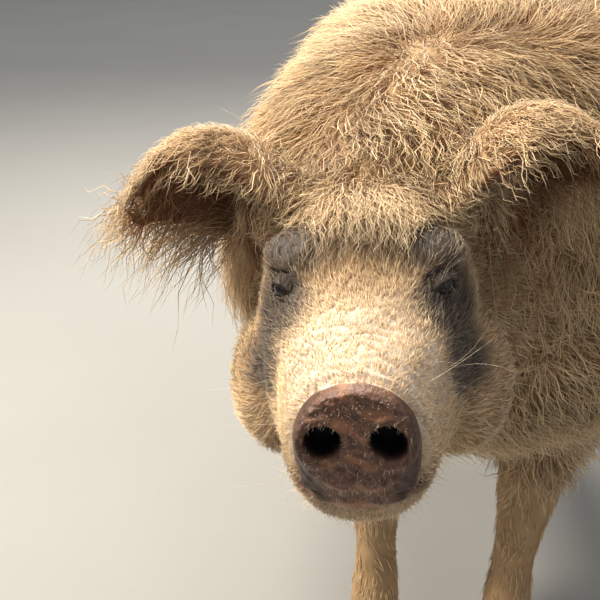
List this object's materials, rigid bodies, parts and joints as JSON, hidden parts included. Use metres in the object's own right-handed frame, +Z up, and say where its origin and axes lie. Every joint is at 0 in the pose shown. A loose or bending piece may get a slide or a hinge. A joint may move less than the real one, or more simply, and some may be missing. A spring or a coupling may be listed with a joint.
{
  "type": "mangalica pig model",
  "caption": "Life-size still model of a standing mangalica pig with a long curly blond coat, lopped ears and dark snout.",
  "frame": {"origin": "middle of the bounding box on the floor plane", "axes": "+Y from the snout towards the rump, +X the pig's left side, +Z up"},
  "size_m": [0.6214, 1.3774, 0.8942],
  "materials": {
    "coat": "long wavy blond hair",
    "face_skin": "grey skin with short pale hair",
    "leg_skin": "tan skin with short hair",
    "snout": "moist rust-brown skin with dark spots",
    "hoof_horn": "dull dark horn",
    "eye": "wet dark brown"
  },
  "bodies": {
    "root": {"torso": "coat", "neck": "coat", "head": "face_skin", "snout_disc": "snout", "ear_left": "coat", "ear_right": "coat", "eye_left": "eye", "eye_right": "eye", "leg_front_left": "leg_skin", "leg_front_right": "leg_skin", "leg_hind_left": "leg_skin", "leg_hind_right": "leg_skin", "tail": "coat", "hoof_front_left_outer": "hoof_horn", "hoof_front_left_inner": "hoof_horn", "hoof_front_right_outer": "hoof_horn", "hoof_front_right_inner": "hoof_horn", "hoof_hind_left_outer": "hoof_horn", "hoof_hind_left_inner": "hoof_horn", "hoof_hind_right_outer": "hoof_horn", "hoof_hind_right_inner": "hoof_horn", "dewclaw_front_left_outer": "hoof_horn", "dewclaw_front_left_inner": "hoof_horn", "dewclaw_front_right_outer": "hoof_horn", "dewclaw_front_right_inner": "hoof_horn", "dewclaw_hind_left_outer": "hoof_horn", "dewclaw_hind_left_inner": "hoof_horn", "dewclaw_hind_right_outer": "hoof_horn", "dewclaw_hind_right_inner": "hoof_horn"}
  },
  "joints": []
}
